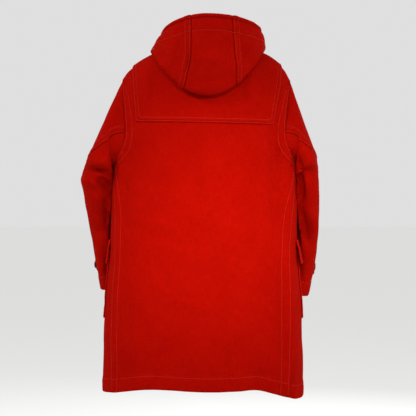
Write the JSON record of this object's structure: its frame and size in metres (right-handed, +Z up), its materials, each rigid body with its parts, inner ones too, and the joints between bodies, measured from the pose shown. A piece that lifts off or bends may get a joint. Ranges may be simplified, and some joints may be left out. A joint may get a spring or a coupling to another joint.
{
  "type": "duffle coat",
  "caption": "Knee-length duffle coat in thick red wool, filled out, with a hood lying down the back, a shoulder yoke, flapped patch pockets and toggle fastenings.",
  "frame": {"origin": "on the coat's middle line between the shoulders, at the height where its shoulders bear on what it's held by", "axes": "+Z up along the coat, the front faces -Y, +X is the wearer's left"},
  "size_m": [0.6709, 0.3639, 1.0449],
  "materials": {
    "red_wool": "thick double-faced wool with a short nap",
    "dark_leather": "dark brown leather patches and cord",
    "dark_horn": "polished dark horn resin"
  },
  "bodies": {
    "root": {"back": "red_wool", "front_left": "red_wool", "front_right": "red_wool", "yoke": "red_wool", "sleeve_left_upper": "red_wool", "sleeve_left_under": "red_wool", "sleeve_right_upper": "red_wool", "sleeve_right_under": "red_wool", "hood_left": "red_wool", "hood_centre": "red_wool", "hood_right": "red_wool", "pocket_left": "red_wool", "pocket_right": "red_wool", "flap_left": "red_wool", "flap_right": "red_wool", "cuff_strap_left": "red_wool", "cuff_strap_right": "red_wool", "cuff_button_left": "dark_horn", "cuff_button_right": "dark_horn", "toggle_1": "dark_horn", "toggle_2": "dark_horn", "toggle_3": "dark_horn", "toggle_4": "dark_horn", "toggle_cord_1": "dark_leather", "toggle_cord_2": "dark_leather", "toggle_cord_3": "dark_leather", "toggle_cord_4": "dark_leather", "loop_1": "dark_leather", "loop_2": "dark_leather", "loop_3": "dark_leather", "loop_4": "dark_leather", "toggle_patch_1": "dark_leather", "toggle_patch_2": "dark_leather", "toggle_patch_3": "dark_leather", "toggle_patch_4": "dark_leather", "loop_patch_1": "dark_leather", "loop_patch_2": "dark_leather", "loop_patch_3": "dark_leather", "loop_patch_4": "dark_leather"}
  },
  "joints": []
}
